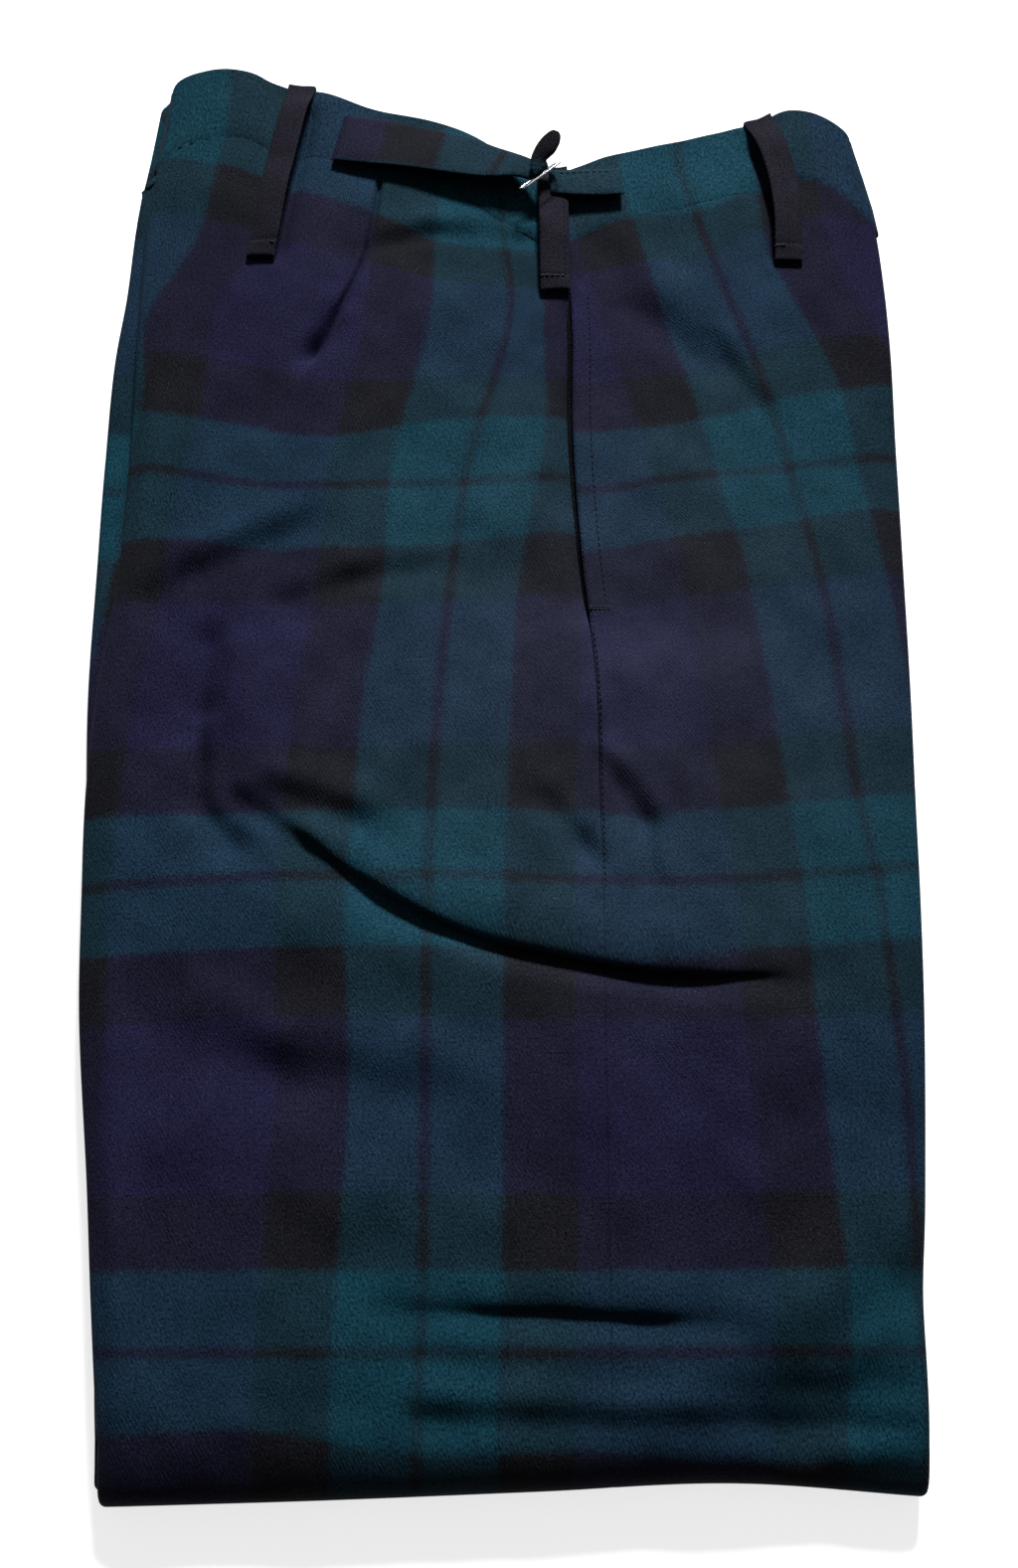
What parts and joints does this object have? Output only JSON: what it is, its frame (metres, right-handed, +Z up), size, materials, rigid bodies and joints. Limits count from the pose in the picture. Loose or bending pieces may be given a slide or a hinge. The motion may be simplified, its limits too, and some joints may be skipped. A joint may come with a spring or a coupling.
{
  "type": "tartan trews",
  "caption": "High-waisted tartan wool trews, folded on their leg creases and in half at the knee, lying flat, with a side adjuster strap and dark belt loops.",
  "frame": {"origin": "middle of the folded trews' outline, on the surface that they lie on", "axes": "+X towards the front creases, +Y from the knee fold towards the waistband, +Z up from the surface"},
  "size_m": [0.3243, 0.5798, 0.0398],
  "materials": {
    "back_panel_cloth": "matt napped wool twill in a dark blue, green and black tartan",
    "front_panel_cloth": "matt napped wool twill in a dark blue, green and black tartan",
    "inner_cloth": "matt napped wool twill in a dark blue, green and black tartan",
    "waistband_cloth": "matt napped wool twill in a dark blue, green and black tartan",
    "belt_loop_cloth": "matt, near black",
    "adjuster_cloth": "matt napped wool twill, blue and black",
    "buckle_steel": "bright polished wire"
  },
  "bodies": {
    "root": {"right_back_panel": "back_panel_cloth", "right_front_panel": "front_panel_cloth", "folded_layers": "inner_cloth", "waistband_right": "waistband_cloth", "waistband_left": "waistband_cloth", "belt_loop_back": "belt_loop_cloth", "belt_loop_side": "belt_loop_cloth", "belt_loop_front": "belt_loop_cloth", "adjuster_strap": "adjuster_cloth", "adjuster_tab": "adjuster_cloth", "adjuster_buckle": "buckle_steel"}
  },
  "joints": []
}
